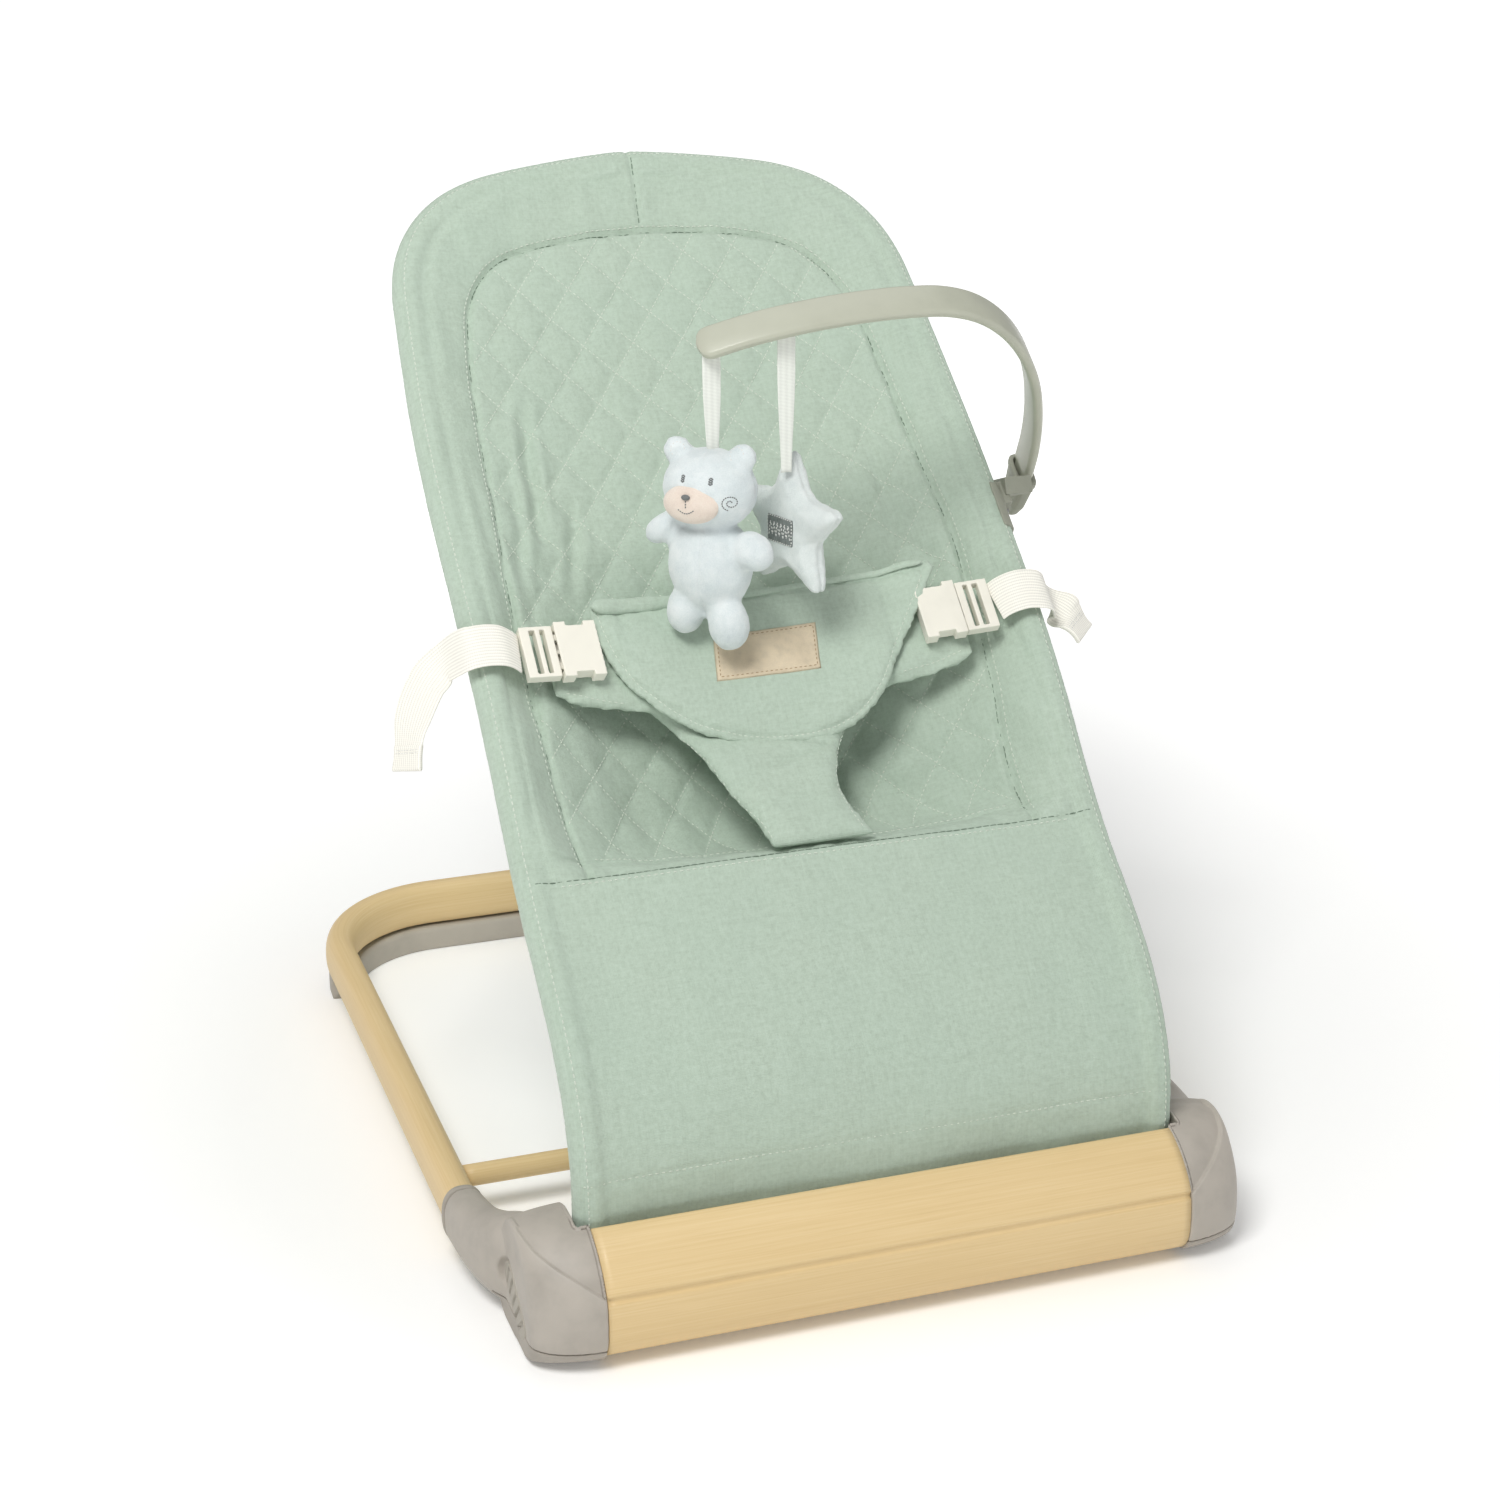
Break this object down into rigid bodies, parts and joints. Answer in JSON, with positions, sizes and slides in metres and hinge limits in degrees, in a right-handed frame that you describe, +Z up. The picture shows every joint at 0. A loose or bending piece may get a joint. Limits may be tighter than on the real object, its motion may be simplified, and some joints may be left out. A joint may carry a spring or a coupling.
{
  "type": "baby bouncer seat",
  "caption": "Reclining baby bouncer seat: wood-look base loop with front beam, slung quilted fabric seat, waist belt with buckles, and a toy bar with plush toys.",
  "frame": {"origin": "on the floor, under the middle of the footprint", "axes": "+Z up, the front beam faces -Y, +X to the right seen from the front (toy bar side)"},
  "size_m": [0.5056, 0.6361, 0.6169],
  "materials": {
    "wood_print": "satin beech-look",
    "grey_plastic": "fine textured warm grey",
    "grey_plastic_dark": "fine textured warm grey",
    "rubber": "matt",
    "steel": "zinc plated",
    "frame_metal": "satin",
    "cover_fabric": "sage green cotton weave, quilted",
    "label_leather": "plain tan patch",
    "cream_plastic": "satin cream",
    "cream_webbing": "ribbed cream webbing",
    "greige_plastic": "satin",
    "bracket_plastic": "fine textured",
    "plush": "short velour",
    "ribbon": "grosgrain"
  },
  "bodies": {
    "base": {"base_loop_tube": "wood_print", "cross_tube": "wood_print", "front_beam": "wood_print", "rear_foot_strip": "grey_plastic_dark", "front_rail": "steel", "hub_right_housing": "grey_plastic", "hub_left_housing": "grey_plastic", "hub_right_lower_shell": "grey_plastic_dark", "hub_left_lower_shell": "grey_plastic_dark", "hub_right_sole": "rubber", "hub_left_sole": "rubber", "hub_right_screw": "steel", "hub_left_screw": "steel", "tube_collar_right": "grey_plastic", "tube_collar_left": "grey_plastic", "pivot_pin_right": "steel", "pivot_pin_left": "steel"},
    "seat": {"seat_tube": "frame_metal", "seat_lower_rung": "frame_metal", "hinge_disc_right": "steel", "hinge_disc_left": "steel", "cover_sleeve": "cover_fabric", "cover_front_panel": "cover_fabric", "cover_bucket": "cover_fabric", "cover_backrest": "cover_fabric", "belt_pad": "cover_fabric", "belt_flap": "cover_fabric", "label_patch": "label_leather", "buckle_left_socket": "cream_plastic", "buckle_right_socket": "cream_plastic", "toy_bar_bracket": "bracket_plastic", "bracket_screw": "steel"},
    "lock_right": {"lock_button_right": "grey_plastic_dark", "button_spring_right": "steel"},
    "lock_left": {"lock_button_left": "grey_plastic_dark", "button_spring_left": "steel"},
    "plug_left": {"buckle_left_plug": "cream_plastic", "webbing_left": "cream_webbing"},
    "plug_right": {"buckle_right_plug": "cream_plastic", "webbing_right": "cream_webbing"},
    "toy_bar": {"toy_bar": "greige_plastic"},
    "bear": {"toy_bear": "plush", "ribbon_bear": "ribbon"},
    "star": {"toy_star": "plush", "ribbon_star": "ribbon"}
  },
  "joints": [
    {"name": "seat_recline", "type": "hinge", "parent": "base", "child": "seat", "pos_m": [0, -0.266, 0.0434], "axis": [1, 0, 0], "range_deg": [-38, 0]},
    {"name": "lock_right_press", "type": "slide", "parent": "base", "child": "lock_right", "axis": [-1, 0, 0], "range_m": [0, 0.0035], "stiffness_N_per_m": 600, "springref_m": -0.002},
    {"name": "lock_left_press", "type": "slide", "parent": "base", "child": "lock_left", "axis": [1, 0, 0], "range_m": [0, 0.0035], "stiffness_N_per_m": 600, "springref_m": -0.002},
    {"name": "buckle_left_release", "type": "slide", "parent": "seat", "child": "plug_left", "axis": [-0.995, -0.0656, 0.0748], "range_m": [0, 0.009]},
    {"name": "buckle_right_release", "type": "slide", "parent": "seat", "child": "plug_right", "axis": [0.995, -0.0656, 0.0748], "range_m": [0, 0.009]},
    {"name": "toy_bar_pull_out", "type": "slide", "parent": "seat", "child": "toy_bar", "axis": [-0.0624, -0.5866, 0.8074], "range_m": [0, 0.028]},
    {"name": "bear_swing", "type": "hinge", "parent": "toy_bar", "child": "bear", "pos_m": [-0.033, -0.0439, 0.548], "axis": [1, 0, 0], "range_deg": [-25, 0]},
    {"name": "star_swing", "type": "hinge", "parent": "toy_bar", "child": "star", "pos_m": [0.013, -0.052, 0.559], "axis": [0, 1, 0], "range_deg": [-20, 0]}
  ]
}
